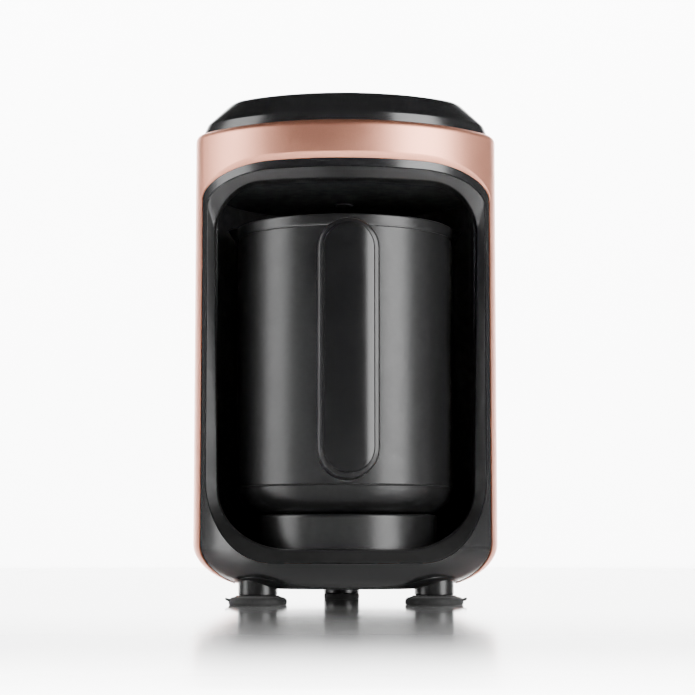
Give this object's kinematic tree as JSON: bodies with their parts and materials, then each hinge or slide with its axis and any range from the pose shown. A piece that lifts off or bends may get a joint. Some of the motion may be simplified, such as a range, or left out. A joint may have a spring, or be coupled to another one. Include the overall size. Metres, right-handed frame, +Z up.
{
  "type": "electric turkish coffee maker",
  "caption": "Upright electric Turkish coffee maker with a glossy front frame, a handled brewing pot in its bay, push buttons and suction feet.",
  "frame": {"origin": "on the table under the middle of the part's box", "axes": "+Z up, -Y towards the user, where the pot leaves the bay, +X to the user's right"},
  "size_m": [0.155, 0.211, 0.2579],
  "materials": {
    "rose_metallic": "satin rose-gold metallic lacquer",
    "gloss_black": "polished black",
    "satin_black": "satin black",
    "inner_black": "matt black",
    "rubber_black": "matt black rubber",
    "steel": "brushed",
    "circuit_board": "green laminate",
    "copper": "wound copper and plated contacts",
    "aluminium": "extruded",
    "smoked_lens": "smoked"
  },
  "bodies": {
    "housing": {"outer_sleeve": "rose_metallic", "front_frame": "gloss_black", "opening_surround": "gloss_black", "bay_liner": "inner_black", "bay_floor": "inner_black", "bay_ceiling": "inner_black", "rear_chassis": "inner_black", "dock": "satin_black", "bottom_cover": "satin_black", "lid": "gloss_black", "control_panel": "satin_black", "status_lenses": "smoked_lens", "suction_foot_left": "rubber_black", "suction_foot_right": "rubber_black", "rear_foot_pad": "rubber_black", "cable_gland": "rubber_black", "gland_nut": "satin_black", "connector_block": "satin_black", "connector_pins": "copper", "control_board": "circuit_board", "tact_switches": "inner_black", "buzzer": "inner_black", "board_screws": "steel", "overflow_sensor": "inner_black", "sensor_lens": "smoked_lens", "power_board": "circuit_board", "transformer": "copper", "relay": "inner_black", "heat_sink": "aluminium", "capacitor": "inner_black", "fuse": "copper", "terminal_block": "circuit_board", "stir_motor": "steel", "motor_plate": "inner_black", "motor_screws": "steel", "cover_screws": "steel", "control_lead": "rubber_black", "motor_lead": "rubber_black", "mains_lead": "rubber_black"},
    "pot": {"pot_shell": "satin_black", "pot_vessel": "steel", "pot_rim": "satin_black", "pot_base": "satin_black", "base_gasket": "rubber_black", "heater_ring": "steel", "thermostat": "steel", "pot_socket": "inner_black", "handle_frame": "satin_black", "handle_cover": "gloss_black", "handle_screws": "steel", "whisk_pivot": "steel"},
    "whisk": {"whisk_hub": "inner_black", "whisk_magnets": "steel"},
    "drive_rotor": {"drive_rotor": "inner_black", "drive_magnets": "steel", "motor_shaft": "steel"},
    "button_left": {"button_left": "satin_black"},
    "button_centre": {"button_centre": "satin_black"},
    "button_right": {"button_right": "satin_black"}
  },
  "joints": [
    {"name": "pot_slide", "type": "slide", "parent": "housing", "child": "pot", "axis": [0, -1, 0], "range_m": [0, 0.16]},
    {"name": "rotor_spin", "type": "hinge", "parent": "housing", "child": "drive_rotor", "pos_m": [0, -0.0115, 0.041], "axis": [0, 0, 1], "continuous": true},
    {"name": "whisk_spin", "type": "hinge", "parent": "pot", "child": "whisk", "pos_m": [0, -0.0115, 0.058], "axis": [0, 0, 1], "continuous": true},
    {"name": "left_press", "type": "slide", "parent": "housing", "child": "button_left", "axis": [0, 0, -1], "range_m": [0, 0.0008], "stiffness_N_per_m": 400, "springref_m": -0.0008},
    {"name": "centre_press", "type": "slide", "parent": "housing", "child": "button_centre", "axis": [0, 0, -1], "range_m": [0, 0.0008], "stiffness_N_per_m": 400, "springref_m": -0.0008},
    {"name": "right_press", "type": "slide", "parent": "housing", "child": "button_right", "axis": [0, 0, -1], "range_m": [0, 0.0008], "stiffness_N_per_m": 400, "springref_m": -0.0008}
  ],
  "couplings": [
    {"joint": "whisk_spin", "follows": "rotor_spin", "ratio": 1}
  ]
}
